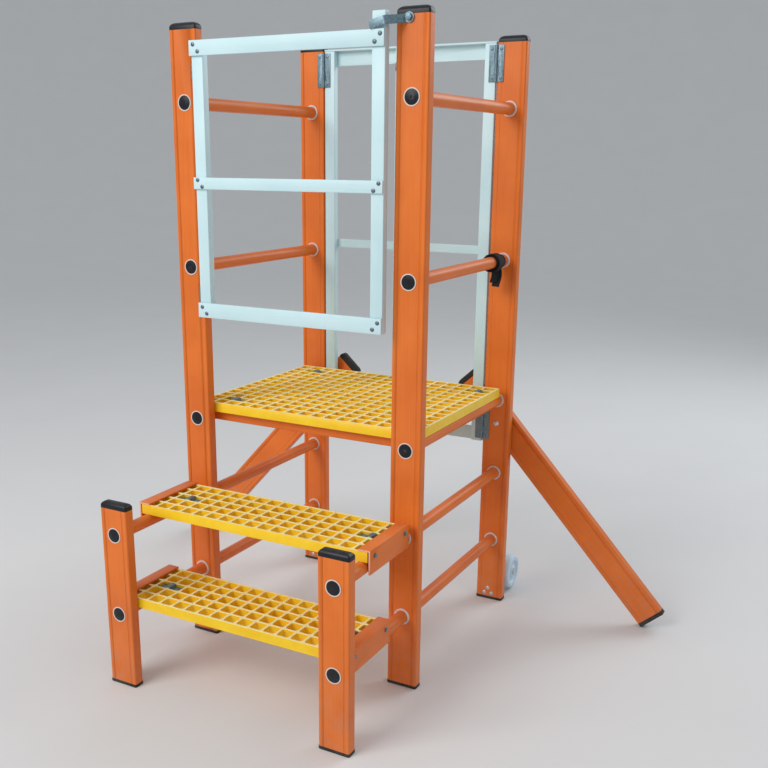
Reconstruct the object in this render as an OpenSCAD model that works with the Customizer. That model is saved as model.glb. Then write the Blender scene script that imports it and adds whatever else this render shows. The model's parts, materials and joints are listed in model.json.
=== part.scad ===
/* [Side frames] */
// Width of the box section used for posts, struts and deck beams
post_w = 80; // [76:1:84]
// Depth of the same box section
post_d = 28; // [26:1:28]
// Wall thickness of the box section
post_wall = 3.5; // [2.5:0.5:4.5]
// Half the distance between the two side frames' centre lines
frame_half = 310; // [308:1:314]
// Height of the tall posts to their cut tops
tall_h = 1593; // [1590:1:1620]
// Height of the short step posts to their cut tops
step_h = 472; // [460:1:500]
// Front faces of the front posts to front faces of the rear posts
frame_depth = 597; // [596:1:610]
// How far the step posts stand in front of the front posts
step_reach = 340; // [340:1:346]

/* [Rungs] */
// Outer diameter of the round rungs
rung_d = 32; // [30:1:32]
// Wall thickness of the rung tube
rung_wall = 3; // [2:0.5:4]
// Height of the rung that carries the lower tread
lower_rung_z = 195; // [185:1:200]
// Height of the rung that carries the upper tread
upper_rung_z = 405; // [395:1:405]
// Height of the rung that carries the platform
deck_rung_z = 625; // [620:1:630]
// Height of the middle guard rung
mid_guard_z = 1025; // [1025:1:1040]
// Height of the top guard rung
top_guard_z = 1425; // [1410:1:1430]

/* [Gratings] */
// Spacing of the grating bars
grid_pitch = 38; // [38:0.1:38.2]
// Width of a grating bar
grid_bar = 6.5; // [5:0.5:7]
// Thickness of the grating
grid_t = 25; // [22:1:25]
// Cells across the width of every grating
cells_wide = 17; // [17:1:17]
// Cells from front to back on the platform
deck_cells = 14; // [14:1:14]
// Cells from front to back on a tread
tread_cells = 5; // [4:1:5]

/* [Gate and rear frame] */
// Width of a gate or rear frame stile
stile_w = 32; // [28:1:32]
// Depth of a stile
stile_d = 20; // [18:1:20]
// Thickness of the flat rails
rail_t = 6; // [4:1:6]
// Bottom of the gate stiles
gate_low_z = 906; // [900:1:906]
// Top of the gate's latch stile
gate_high_z = 1599; // [1590:1:1602]

/* [Struts and wheels] */
// Angle of a strut below horizontal when its foot is down
strut_tilt = 47.5; // [46:0.5:49]
// Height of the strut pivot bolt
strut_pivot_z = 555; // [550:1:560]
// Length of strut above the pivot
strut_head = 170; // [150:1:172]
// Diameter of a transport wheel
wheel_d = 104; // [96:1:104]
// Width of a transport wheel
wheel_w = 30; // [26:1:30]

/* [Hidden] */
$fn = 48;

// Colours
orange = [0.93, 0.38, 0.13];
yellow = [0.95, 0.76, 0.16];
white = [0.82, 0.86, 0.90];
black = [0.07, 0.08, 0.09];
silver = [0.66, 0.68, 0.70];
grey = [0.62, 0.62, 0.58];

// Left and right, as signs of X
LEFT = -1;
RIGHT = 1;

// Clearances
eps = 0.01;
bond_gap = 0.1;
run_gap = 0.05;
// Gap that keeps a fastener a separate solid from what it clamps
seat_gap = 0.02;

// Posts. Y is measured from the front faces of the front posts, and placed() then centres the part.
front_y = post_d / 2;
rear_y = frame_depth + post_d / 2;
step_y = post_d / 2 - step_reach;
foot_t = 8;
cap_h = 17;
groove_w = 2;
groove_deep = 0.6;
groove_at = post_w / 2 - 14;
corner_r = 4;

// Rungs, their plugs and collars
plug_r = 17;
plug_h = 3;
collar_r = 21;
collar_t = 4.5;
ring_t = 1.5;
ring_r = 20;
step_rungs = [lower_rung_z, upper_rung_z];
upper_rungs = [deck_rung_z, mid_guard_z, top_guard_z];
all_rungs = concat(step_rungs, upper_rungs);

// Gratings
grid_w = cells_wide * grid_pitch + grid_bar;
deck_d = deck_cells * grid_pitch + grid_bar;
tread_d = tread_cells * grid_pitch + grid_bar;
deck_y = post_d + 3;
deck_z = deck_rung_z + rung_d / 2;
upper_tread_y = -20.5 - tread_d;
upper_tread_z = upper_rung_z + rung_d / 2;
lower_tread_y = step_y + post_d / 2 + 1;
lower_tread_z = lower_rung_z + rung_d / 2;
beam_half = frame_half - rung_d / 2 - 2;

// Tread end brackets and clips
bracket_t = 5;
bracket_flange = 32;
bracket_drop = 29;
bracket_gap = 1.75;
bracket_out = grid_w / 2 + bracket_gap + bracket_t + 1;
clip_sheet = 2.5;
clip_deep = 6;
clip_len = 25;
screw_r = 3;

// Gate
gate_left_x = -256;
gate_right_x = 262;
gate_pin_y = -11;
barrel_r = 4.5;
gate_back_y = gate_pin_y - barrel_r;
gate_front_y = gate_back_y - stile_d;
// Each rail as [bottom, top]
gate_top = [1527, 1562];
gate_mid = [1221, 1249];
gate_bottom = [906, 943];
gate_rails = [gate_top, gate_mid, gate_bottom];
gate_hinges_z = [944.5, 1478];
gate_hinge_h = 34;
gate_leaf_w = 36;
leaf_t = 2.5;
gate_pin_x = -frame_half + post_w / 2 + leaf_t - barrel_r;
pin_r = 2.5;

// Latch
latch_x = 302;
latch_z = tall_h - 7;
latch_tilt = 12;
strap_w = 18;
strap_t = 3;
latch_far = 76;
latch_front_y = -45;
latch_end_r = 11;
latch_bolt_r = 4;

// Rear frame
stile_gap = 5;
rear_outer_x = frame_half - post_w / 2 - stile_gap;
rear_inner_x = 2;
rear_low_z = 495;
rear_high_z = 1592;
rear_mid = [1035, 1059];
rear_bottom = [492, 532];
rear_top = [1553, rear_high_z + 5];
rear_rails = [rear_top, rear_mid, rear_bottom];
rear_face_y = frame_depth + stile_d;
butt_h = 93;
butt_leaf_w = 21;
butt_r = 4;
rear_hinges_z = [504, 1494];
middle_hinges_z = [610, 1395];

// Rivets
rivet_r = 2.5;
rivet_head_r = 5;
rivet_head = 2;
rivet_dx = 6.5;
rivet_dz = 8;
rivet_grip = 10;

// Struts
strut_gap = 5;
strut_y = frame_depth + post_d + strut_gap;
pivot_r = 4;
end_t = 12;
floor_gap = 0.2;
// Length below the pivot at which the inner corner of the square end meets the floor
strut_leg = (strut_pivot_z - post_w / 2 * cos(strut_tilt) - floor_gap) / sin(strut_tilt);

// Wheels
wheel_y = frame_depth + post_d + 77;
wheel_z = wheel_d / 2 + 6;
wheel_x = frame_half + 9;
wheel_arm_x = wheel_x - 2;
axle_r = 5;
bracket_plate = 4;
// Bolts of a wheel bracket as [distance inboard of the post's centre line, height]
wheel_bolts = [[4, 34], [14, 18], [-8, 18]];

// Shift that puts the middle of the whole footprint on the Z axis
front_reach = step_reach + plug_h;
rear_reach = wheel_y + wheel_d / 2;
centre_shift = (front_reach - rear_reach) / 2;

module placed() {
    translate([0, centre_shift, 0])
        children();
}

module mirrored(side) {
    if (side == LEFT)
        mirror([1, 0, 0]) children();
    else
        children();
}

// ---------- shared sections and hardware ----------

module rounded_rect(w, d, r) {
    square([w - 2 * r, d], center = true);
    square([w, d - 2 * r], center = true);
    for (x = [-1, 1], y = [-1, 1])
        translate([x * (w / 2 - r), y * (d / 2 - r)])
            circle(r);
}

module box_section() {
    difference() {
        rounded_rect(post_w, post_d, corner_r);
        square([post_w - 2 * post_wall, post_d - 2 * post_wall], center = true);
        for (x = [-groove_at, groove_at], y = [-1, 1])
            translate([x, y * post_d / 2])
                square([groove_w, 2 * groove_deep], center = true);
    }
}

// A cylinder that runs from y0 towards +Y
module rod_y(r, y0, length) {
    translate([0, y0, 0])
        rotate([-90, 0, 0])
            cylinder(r = r, h = length);
}

module tube_y(r, bore_r, y0, length) {
    difference() {
        rod_y(r, y0, length);
        rod_y(bore_r, y0 - 1, length + 2);
    }
}

// A shallow dome on a round disc, standing on Z = 0
module domed_disc(r, h) {
    rim = h / 3;
    sag = h - rim;
    ball_r = (r * r + sag * sag) / (2 * sag);
    cylinder(r = r, h = rim);
    intersection() {
        translate([0, 0, h - ball_r])
            sphere(ball_r);
        translate([0, 0, rim / 2])
            cylinder(r = r, h = h);
    }
}

module hex_head(across, h) {
    cylinder(r = across / sqrt(3), h = h, $fn = 6);
}

// A hexagon bolt along +Y: head in front of y0, nut behind y1
module through_bolt(r, y0, y1, across, head_h) {
    translate([0, y0 - head_h, 0])
        rotate([-90, 0, 0])
            hex_head(across, head_h);
    rod_y(r, y0 - eps, y1 - y0 + head_h + 2);
    translate([0, y1, 0])
        rotate([-90, 0, 0])
            hex_head(across, head_h);
}

// A round-headed bolt along +Y, clamping from y0 to y1, with a hexagon nut behind
module coach_bolt(r, y0, y1, head_r, head_h, across) {
    translate([0, y0, 0])
        rotate([90, 0, 0])
            domed_disc(head_r, head_h);
    rod_y(r, y0 - eps, y1 - y0 + across / 2 + 2);
    translate([0, y1, 0])
        rotate([-90, 0, 0])
            hex_head(across, across / 2);
}

// ---------- side frames ----------

module post(h, rung_heights) {
    difference() {
        translate([0, 0, foot_t])
            linear_extrude(h - foot_t)
                box_section();
        for (z = rung_heights)
            translate([0, 0, z])
                rod_y(rung_d / 2 + bond_gap, -post_d, 2 * post_d);
    }
}

module front_post(side) {
    translate([side * frame_half, 0, 0])
        difference() {
            translate([0, front_y, 0])
                post(tall_h, all_rungs);
            if (side == RIGHT)
                translate([latch_x - frame_half, 0, latch_z])
                    rod_y(latch_bolt_r + bond_gap, -1, post_d + 2);
            if (side == LEFT)
                for (z = gate_hinges_z, s = gate_screws)
                    translate([post_w / 2 - post_wall - 1, gate_pin_y + s[0], z + s[1]])
                        rotate([0, 90, 0])
                            cylinder(r = screw_shank_r + bond_gap, h = post_wall + 2);
        }
}

module rear_post(side) {
    translate([side * frame_half, 0, 0])
        difference() {
            translate([0, rear_y, 0])
                post(tall_h, all_rungs);
            translate([0, 0, strut_pivot_z])
                rod_y(pivot_r + bond_gap, frame_depth - 1, post_d + 2);
            mirrored(side) {
                for (b = wheel_bolts)
                    translate([-b[0], 0, b[1]])
                        rod_y(screw_r + bond_gap, frame_depth - 1, post_d + 2);
                for (z = rear_hinges_z, s = butt_screws)
                    translate([rear_pin_x - frame_half + s[0], 0, z + s[1]])
                        rod_y(screw_shank_r + bond_gap, frame_depth - 1, post_wall + 2);
            }
        }
}

module step_post(side) {
    translate([side * frame_half, step_y, 0])
        post(step_h, step_rungs);
}

module post_front_left() color(orange) placed() front_post(LEFT);
module post_front_right() color(orange) placed() front_post(RIGHT);
module post_rear_left() color(orange) placed() rear_post(LEFT);
module post_rear_right() color(orange) placed() rear_post(RIGHT);
module post_step_left() color(orange) placed() step_post(LEFT);
module post_step_right() color(orange) placed() step_post(RIGHT);

// A rung tube from y0 to the rear faces of the rear posts
module rung(side, z, y0) {
    color(orange)
        placed()
            translate([side * frame_half, 0, z])
                tube_y(rung_d / 2, rung_d / 2 - rung_wall, y0, frame_depth + post_d - y0);
}

module rung_lower_left() rung(LEFT, lower_rung_z, -step_reach);
module rung_lower_right() rung(RIGHT, lower_rung_z, -step_reach);
module rung_upper_left() rung(LEFT, upper_rung_z, -step_reach);
module rung_upper_right() rung(RIGHT, upper_rung_z, -step_reach);
module rung_deck_left() rung(LEFT, deck_rung_z, 0);
module rung_deck_right() rung(RIGHT, deck_rung_z, 0);
module rung_mid_left() rung(LEFT, mid_guard_z, 0);
module rung_mid_right() rung(RIGHT, mid_guard_z, 0);
module rung_top_left() rung(LEFT, top_guard_z, 0);
module rung_top_right() rung(RIGHT, top_guard_z, 0);

module collar(y0) tube_y(collar_r, rung_d / 2 + bond_gap, y0, collar_t);

module plug_ring(y0) tube_y(ring_r, plug_r + bond_gap, y0, ring_t);

// The collars where rungs pass post faces, and the thin rings round the end plugs
module rung_collars() {
    color(white)
        placed()
            for (side = [LEFT, RIGHT])
                translate([side * frame_half, 0, 0]) {
                    for (z = all_rungs)
                        translate([0, 0, z]) {
                            collar(frame_depth - collar_t);
                            plug_ring(frame_depth + post_d);
                        }
                    for (z = step_rungs)
                        translate([0, 0, z]) {
                            collar(-collar_t);
                            collar(post_d);
                            plug_ring(-step_reach - ring_t);
                        }
                    for (z = upper_rungs)
                        translate([0, 0, z])
                            plug_ring(-ring_t);
                    for (z = [mid_guard_z, top_guard_z])
                        translate([0, 0, z])
                            collar(post_d);
                }
}

// A domed plug whose head stands out towards -Y and whose spigot runs into the tube
module rung_plug() {
    rotate([90, 0, 0])
        domed_disc(plug_r, plug_h);
    rod_y(rung_d / 2 - rung_wall - bond_gap, -eps, 14);
}

module rung_plugs() {
    color(black)
        placed()
            for (side = [LEFT, RIGHT])
                translate([side * frame_half, 0, 0]) {
                    for (z = step_rungs)
                        translate([0, -step_reach, z])
                            rung_plug();
                    for (z = upper_rungs)
                        translate([0, 0, z])
                            rung_plug();
                    for (z = all_rungs)
                        translate([0, frame_depth + post_d, z])
                            rotate([0, 0, 180])
                                rung_plug();
                }
}

// A domed end cap for the box section, standing on Z = 0
module section_cap() {
    hull() {
        linear_extrude(cap_h / 3)
            rounded_rect(post_w, post_d, corner_r);
        translate([0, 0, 0.72 * cap_h])
            linear_extrude(0.5)
                rounded_rect(post_w - 8, post_d - 8, corner_r);
        translate([0, 0, cap_h - 0.5])
            linear_extrude(0.5)
                rounded_rect(post_w - 26, post_d - 20, corner_r - 1);
    }
}

module post_caps() {
    color(black)
        placed()
            for (side = [LEFT, RIGHT]) {
                for (y = [front_y, rear_y])
                    translate([side * frame_half, y, tall_h])
                        section_cap();
                translate([side * frame_half, step_y, step_h])
                    section_cap();
            }
}

module post_feet() {
    color(black)
        placed()
            for (side = [LEFT, RIGHT], y = [step_y, front_y, rear_y])
                translate([side * frame_half, y, 0])
                    linear_extrude(foot_t)
                        rounded_rect(post_w + 2, post_d + 2, corner_r + 1);
}

// ---------- gratings, beams, brackets and clips ----------

// A moulded grating from y0 backwards, with its underside at z0
module grating(y0, z0, rows) {
    cell = grid_pitch - grid_bar;
    depth = rows * grid_pitch + grid_bar;
    translate([-grid_w / 2, y0, z0])
        linear_extrude(grid_t)
            difference() {
                square([grid_w, depth]);
                for (i = [0 : cells_wide - 1], j = [0 : rows - 1])
                    translate([grid_bar + i * grid_pitch, grid_bar + j * grid_pitch])
                        square(cell);
            }
}

// A length of box section laid flat under a grating, with its top at z_top
module flat_beam(y_mid, z_top) {
    translate([-beam_half, y_mid, z_top - post_d / 2])
        rotate([90, 0, 90])
            linear_extrude(2 * beam_half)
                box_section();
}

function cell_y(y0, row) = y0 + grid_bar / 2 + (row + 0.5) * grid_pitch;
function bar_x(i) = -grid_w / 2 + grid_bar / 2 + i * grid_pitch;

// Clips sit over the bars second and third from the ends
left_bar = bar_x(2);
right_bar = bar_x(cells_wide - 1);
clip_screw_x = [left_bar + grid_pitch / 2, right_bar - grid_pitch / 2];

// A saddle clip over one bar, with a tab down in the cell on each side
module saddle_clip(x_bar, y_mid, z_top) {
    bar_half = grid_bar / 2 + 0.3;
    tab = 12.5;
    reach = bar_half + clip_sheet + 2 * tab;
    translate([x_bar, y_mid + clip_len / 2, z_top])
        rotate([90, 0, 0])
            linear_extrude(clip_len) {
                translate([-bar_half - clip_sheet, 0])
                    square([2 * (bar_half + clip_sheet), clip_sheet]);
                for (s = [0, 1])
                    mirror([s, 0, 0]) {
                        translate([bar_half, -clip_deep])
                            square([clip_sheet, clip_deep + 1]);
                        translate([bar_half, -clip_deep - clip_sheet])
                            square([reach - bar_half, clip_sheet]);
                    }
            }
}

module clip_screw(x, y_mid, z_top, z_beam) {
    head_z = z_top - clip_deep + seat_gap;
    translate([x, y_mid, head_z])
        domed_disc(6, 3.5);
    translate([x, y_mid, z_beam - post_wall - 4])
        cylinder(r = screw_r, h = head_z - z_beam + post_wall + 4 + eps);
}

module clip_pair(y_mid, z0) {
    z_top = z0 + grid_t;
    for (x = [left_bar, right_bar])
        difference() {
            saddle_clip(x, y_mid, z_top);
            for (xs = clip_screw_x)
                translate([xs, y_mid, z_top - 2 * clip_deep])
                    cylinder(r = screw_r + bond_gap, h = 2 * clip_deep);
        }
    for (xs = clip_screw_x)
        clip_screw(xs, y_mid, z_top, z0);
}

module clipped_beam(y_mid, z_top) {
    difference() {
        flat_beam(y_mid, z_top);
        for (x = clip_screw_x)
            translate([x, y_mid, z_top - post_wall - 1])
                cylinder(r = screw_r + bond_gap, h = post_wall + 2);
    }
}

deck_clip_y = [cell_y(deck_y, 1), cell_y(deck_y, deck_cells - 2)];

module platform_grating() color(yellow) placed() grating(deck_y, deck_z, deck_cells);

module platform_beams() {
    color(orange)
        placed()
            for (y = deck_clip_y)
                clipped_beam(y, deck_z);
}

module platform_clips() {
    color(silver)
        placed()
            for (y = deck_clip_y)
                clip_pair(y, deck_z);
}

function bracket_bolt_y(y0) = [cell_y(y0, 0), cell_y(y0, tread_cells - 1)];

module tread_grating(y0, z0) {
    difference() {
        grating(y0, z0, tread_cells);
        for (y = bracket_bolt_y(y0), side = [LEFT, RIGHT])
            translate([side * (grid_w / 2 - grid_bar / 2), y, z0 + grid_t / 2])
                rotate([0, 90, 0])
                    cylinder(r = screw_r + bond_gap, h = 2 * grid_bar, center = true);
    }
}

// An inverted angle over each end of a tread: flange on top, leg outside the rung
module tread_brackets(y0, z0) {
    top = z0 + grid_t + bracket_t;
    for (side = [LEFT, RIGHT])
        mirrored(side)
            difference() {
                translate([bracket_out, y0 + tread_d, 0])
                    rotate([90, 0, 0])
                        linear_extrude(tread_d) {
                            translate([-bracket_flange, top - bracket_t])
                                square([bracket_flange, bracket_t]);
                            translate([-bracket_t, z0 - bracket_drop])
                                square([bracket_t, top - z0 + bracket_drop]);
                        }
                for (y = bracket_bolt_y(y0))
                    translate([bracket_out - bracket_t - 1, y, z0 + grid_t / 2])
                        rotate([0, 90, 0])
                            cylinder(r = screw_r + bond_gap, h = bracket_t + 2);
            }
}

// One bolt through a bracket's leg and the grating's end bar, with its nut in the cell
module bracket_bolt(y, z) {
    head_h = 4;
    inner_x = grid_w / 2 - grid_bar;
    translate([bracket_out, y, z])
        rotate([0, 90, 0])
            hex_head(10, head_h);
    translate([inner_x - 7, y, z])
        rotate([0, 90, 0])
            cylinder(r = screw_r, h = bracket_out - inner_x + 7 + eps);
    translate([inner_x - 5, y, z])
        rotate([0, 90, 0])
            hex_head(10, 5);
}

module tread_fixings(y0, z0) {
    clip_pair(y0 + tread_d / 2, z0);
    for (side = [LEFT, RIGHT], y = bracket_bolt_y(y0))
        mirrored(side)
            bracket_bolt(y, z0 + grid_t / 2);
}

module tread_beam(y0, z0) clipped_beam(y0 + tread_d / 2, z0);

module upper_tread_grating() color(yellow) placed() tread_grating(upper_tread_y, upper_tread_z);
module upper_tread_beam() color(orange) placed() tread_beam(upper_tread_y, upper_tread_z);
module upper_tread_brackets() color(orange) placed() tread_brackets(upper_tread_y, upper_tread_z);
module upper_tread_fixings() color(silver) placed() tread_fixings(upper_tread_y, upper_tread_z);
module lower_tread_grating() color(yellow) placed() tread_grating(lower_tread_y, lower_tread_z);
module lower_tread_beam() color(orange) placed() tread_beam(lower_tread_y, lower_tread_z);
module lower_tread_brackets() color(orange) placed() tread_brackets(lower_tread_y, lower_tread_z);
module lower_tread_fixings() color(silver) placed() tread_fixings(lower_tread_y, lower_tread_z);

// ---------- hinges and rivets ----------

// Screws in one hinge leaf, as [distance from the pin, height above the hinge's foot]
gate_screws = [[22, 9], [22, 25]];
butt_screws = [[13, 10], [13, butt_h - 10]];
screw_shank_r = 2;
screw_head_r = 4;
screw_head = 1.8;
screw_len = 12;

// One hinge leaf, laid on the plane y = 0 towards +X, with its barrel on the -Y side.
// It has every second knuckle of the count, starting with the given one.
module hinge_leaf(h, w, r, first, count, screws, pin_gap) {
    step = h / count;
    difference() {
        union() {
            translate([r + 0.5, -leaf_t, 0])
                cube([w - r - 0.5, leaf_t, h]);
            for (k = [first : 2 : count - 1])
                translate([0, 0, k * step + 0.15]) {
                    translate([0, -r, 0])
                        cylinder(r = r, h = step - 0.3);
                    translate([0, -leaf_t, 0])
                        cube([r + 1, leaf_t, step - 0.3]);
                }
        }
        translate([0, -r, -1])
            cylinder(r = pin_r + pin_gap, h = h + 2);
        for (s = screws)
            translate([s[0], 0, s[1]])
                rod_y(screw_shank_r + bond_gap, -leaf_t - 1, leaf_t + 2);
    }
}

module hinge_pin(h, r) {
    translate([0, -r, 0])
        cylinder(r = pin_r, h = h);
}

// A pan-head screw whose head sits on the plane y = y_seat and whose shank runs to +Y
module leaf_screw(y_seat) {
    translate([0, y_seat - seat_gap, 0])
        rotate([90, 0, 0])
            domed_disc(screw_head_r, screw_head);
    rod_y(screw_shank_r, y_seat - 2 * seat_gap, screw_len);
}

module rivet() {
    rotate([90, 0, 0])
        domed_disc(rivet_head_r, rivet_head);
    rod_y(rivet_r, -eps, rivet_grip);
}

// Two rivets across one joint, on the diagonal that leans outward at the top
module joint_spots(x, z, side) {
    for (s = [-1, 1])
        translate([x + side * s * rivet_dx, 0, z + s * rivet_dz])
            children();
}

// ---------- gate ----------

gate_stile_x = [gate_left_x + stile_w / 2, gate_right_x - stile_w / 2];
gate_sides = [LEFT, RIGHT];

module gate_spots() {
    for (r = gate_rails, i = [0, 1])
        joint_spots(gate_stile_x[i], (r[0] + r[1]) / 2, gate_sides[i])
            children();
}

module gate_stile(i, top_z) {
    color(white)
        placed()
            difference() {
                translate([gate_stile_x[i] - stile_w / 2, gate_front_y, gate_low_z])
                    cube([stile_w, stile_d, top_z - gate_low_z]);
                translate([0, gate_front_y - rail_t, 0])
                    gate_spots()
                        rod_y(rivet_r + bond_gap, -1, rivet_grip + 2);
                for (z = gate_hinges_z, s = gate_screws)
                    translate([gate_pin_x + s[0], gate_back_y - screw_len, z + s[1]])
                        rod_y(screw_shank_r + bond_gap, 0, screw_len + 1);
            }
}

module gate_hinge_stile() gate_stile(0, gate_top[1]);
module gate_latch_stile() gate_stile(1, gate_high_z);

module gate_rail(r) {
    color(white)
        placed()
            difference() {
                translate([gate_left_x - 3, gate_front_y - rail_t, r[0]])
                    cube([gate_right_x - gate_left_x + 3, rail_t, r[1] - r[0]]);
                translate([0, gate_front_y - rail_t, 0])
                    gate_spots()
                        rod_y(rivet_r + bond_gap, -1, rivet_grip + 2);
            }
}

module gate_top_rail() gate_rail(gate_top);
module gate_mid_rail() gate_rail(gate_mid);
module gate_bottom_rail() gate_rail(gate_bottom);

module gate_rivets() {
    color(silver)
        placed()
            translate([0, gate_front_y - rail_t, 0])
                gate_spots()
                    rivet();
}

// The leaves screwed behind the hinge stile. They carry the middle knuckle.
module gate_hinge_leaves() {
    color(silver)
        placed()
            for (z = gate_hinges_z)
                translate([gate_pin_x, 0, z]) {
                    translate([0, gate_pin_y - barrel_r, 0])
                        mirror([0, 1, 0])
                            hinge_leaf(gate_hinge_h, gate_leaf_w, barrel_r, 1, 3, gate_screws, run_gap);
                    for (s = gate_screws)
                        translate([s[0], gate_pin_y - barrel_r + leaf_t, s[1]])
                            rotate([0, 0, 180])
                                leaf_screw(0);
                }
}

// The leaves, pins and screws on the inner face of the left front post
module gate_post_leaves() {
    color(silver)
        placed()
            for (z = gate_hinges_z)
                translate([gate_pin_x + barrel_r, gate_pin_y, z])
                    mirror([1, -1, 0]) {
                        hinge_leaf(gate_hinge_h, gate_leaf_w, barrel_r, 0, 3, gate_screws, bond_gap);
                        hinge_pin(gate_hinge_h, barrel_r);
                        for (s = gate_screws)
                            translate([s[0], 0, s[1]])
                                mirror([0, 1, 0])
                                    leaf_screw(0);
                    }
}

// ---------- latch ----------

// The strap in plan, lying level: flat at the bolt, slanting forwards, then flat across the gate stile
module latch_strap() {
    near_x = -10;
    far_x = -38;
    half = strap_t / 2;
    seat = -half - 0.5;
    front = latch_front_y + half;
    mitre = half * tan(atan2(seat - front, near_x - far_x) / 2);
    translate([0, 0, -strap_w / 2])
        linear_extrude(strap_w)
            polygon([
                [0, seat + half],
                [near_x - mitre, seat + half],
                [far_x - mitre, front + half],
                [-latch_far, front + half],
                [-latch_far, front - half],
                [far_x + mitre, front - half],
                [near_x + mitre, seat - half],
                [0, seat - half]
            ]);
    rod_y(latch_end_r, seat - half, strap_t);
}

module latch_hook() {
    color(silver)
        placed()
            translate([latch_x, 0, latch_z])
                rotate([0, -latch_tilt, 0])
                    difference() {
                        latch_strap();
                        rod_y(latch_bolt_r + run_gap, -10, 12);
                    }
}

module latch_bolt() {
    color(silver)
        placed()
            translate([latch_x, 0, latch_z])
                through_bolt(latch_bolt_r, -strap_t - 1, post_d, 13, 5);
}

// ---------- rear folding frame ----------

rear_pin_x = frame_half - post_w / 2 - stile_gap / 2;
rear_outer_mid = rear_outer_x - stile_w / 2;
rear_inner_mid = rear_inner_x + stile_w / 2;

// Rivet spots of the right-hand leaf, on its rear face
module rear_spots() {
    for (r = rear_rails) {
        z = r == rear_top ? (rear_top[0] + rear_high_z) / 2 : (r[0] + r[1]) / 2;
        joint_spots(rear_outer_mid, z, RIGHT) children();
        joint_spots(rear_inner_mid, z, LEFT) children();
    }
}

// Screw spots of the hinges between post and outer stile, with x counted from the pin
module butt_spots(direction) {
    for (z = rear_hinges_z, s = butt_screws)
        translate([rear_pin_x + direction * s[0], frame_depth, z + s[1]])
            children();
}

module middle_spots() {
    for (z = middle_hinges_z, s = butt_screws)
        translate([s[0], rear_face_y, z + s[1]])
            children();
}

module rear_stile(side, x_mid) {
    color(white)
        placed()
            mirrored(side)
                difference() {
                    translate([x_mid - stile_w / 2, frame_depth, rear_low_z])
                        cube([stile_w, stile_d, rear_high_z - rear_low_z]);
                    translate([0, rear_face_y - rivet_grip + rail_t, 0])
                        rear_spots()
                            rod_y(rivet_r + bond_gap, -1, rivet_grip + 2);
                    butt_spots(LEFT)
                        rod_y(screw_shank_r + bond_gap, -1, screw_len + 1);
                    middle_spots()
                        rod_y(screw_shank_r + bond_gap, -screw_len, screw_len + 1);
                }
}

module rear_stile_left_outer() rear_stile(LEFT, rear_outer_mid);
module rear_stile_left_inner() rear_stile(LEFT, rear_inner_mid);
module rear_stile_right_inner() rear_stile(RIGHT, rear_inner_mid);
module rear_stile_right_outer() rear_stile(RIGHT, rear_outer_mid);

// Two flat rails behind the stiles, and an angle whose flange covers the stile tops
module rear_leaf_rails(side) {
    length = rear_outer_x - rear_inner_x;
    color(white)
        placed()
            mirrored(side)
                difference() {
                    translate([rear_inner_x, rear_face_y, 0]) {
                        for (r = rear_rails)
                            translate([0, 0, r[0]])
                                cube([length, rail_t, r[1] - r[0]]);
                        translate([0, -stile_d, rear_high_z])
                            cube([length, stile_d + 1, rear_top[1] - rear_high_z]);
                    }
                    translate([0, rear_face_y - rivet_grip + rail_t, 0])
                        rear_spots()
                            rod_y(rivet_r + bond_gap, -1, rivet_grip + 2);
                }
}

module rear_rails_left() rear_leaf_rails(LEFT);
module rear_rails_right() rear_leaf_rails(RIGHT);

module butt_hinge() {
    hinge_leaf(butt_h, butt_leaf_w, butt_r, 0, 5, butt_screws, bond_gap);
    mirror([1, 0, 0])
        hinge_leaf(butt_h, butt_leaf_w, butt_r, 1, 5, butt_screws, bond_gap);
    hinge_pin(butt_h, butt_r);
}

module rear_hinges() {
    color(silver)
        placed() {
            for (side = [LEFT, RIGHT], z = rear_hinges_z)
                translate([side * rear_pin_x, frame_depth, z])
                    butt_hinge();
            for (z = middle_hinges_z)
                translate([0, rear_face_y, z])
                    mirror([0, 1, 0])
                        butt_hinge();
        }
}

module rear_fasteners() {
    color(silver)
        placed()
            for (side = [LEFT, RIGHT])
                mirrored(side) {
                    translate([0, rear_face_y + rail_t, 0])
                        rear_spots()
                            rotate([0, 0, 180])
                                rivet();
                    for (direction = [LEFT, RIGHT])
                        butt_spots(direction)
                            leaf_screw(-leaf_t);
                    middle_spots()
                        rotate([0, 0, 180])
                            leaf_screw(-leaf_t);
                }
}

// A small slide bolt that keeps the two rear leaves in line
module rear_leaf_catch() {
    body = [46, 2, 22];
    z = 1532;
    color(silver)
        placed()
            translate([-body[0] + 12, frame_depth - body[1], z])  {
                cube(body);
                translate([4, -5, body[2] / 2])
                    rotate([0, 90, 0])
                        cylinder(r = 5, h = 30);
                translate([8, -10, body[2] / 2])
                    rotate([90, 0, 0])
                        cylinder(r = 3, h = 8, center = true);
            }
}

// ---------- struts ----------

// The strut's own frame: pivot at the origin, foot towards -Z
module strut_at(side) {
    placed()
        translate([side * frame_half, strut_y + post_d / 2, strut_pivot_z])
            rotate([0, side * -(90 - strut_tilt), 0])
                children();
}

module strut(side) {
    color(orange)
        strut_at(side)
            difference() {
                translate([0, 0, -strut_leg + end_t])
                    linear_extrude(strut_leg - end_t + strut_head - cap_h)
                        box_section();
                rod_y(pivot_r + run_gap, -post_d, 2 * post_d);
            }
}

module strut_left() strut(LEFT);
module strut_right() strut(RIGHT);

module strut_ends(side) {
    color(black)
        strut_at(side) {
            translate([0, 0, strut_head - cap_h])
                section_cap();
            translate([0, 0, -strut_leg])
                linear_extrude(end_t)
                    rounded_rect(post_w, post_d, corner_r);
        }
}

module strut_left_ends() strut_ends(LEFT);
module strut_right_ends() strut_ends(RIGHT);

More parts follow.
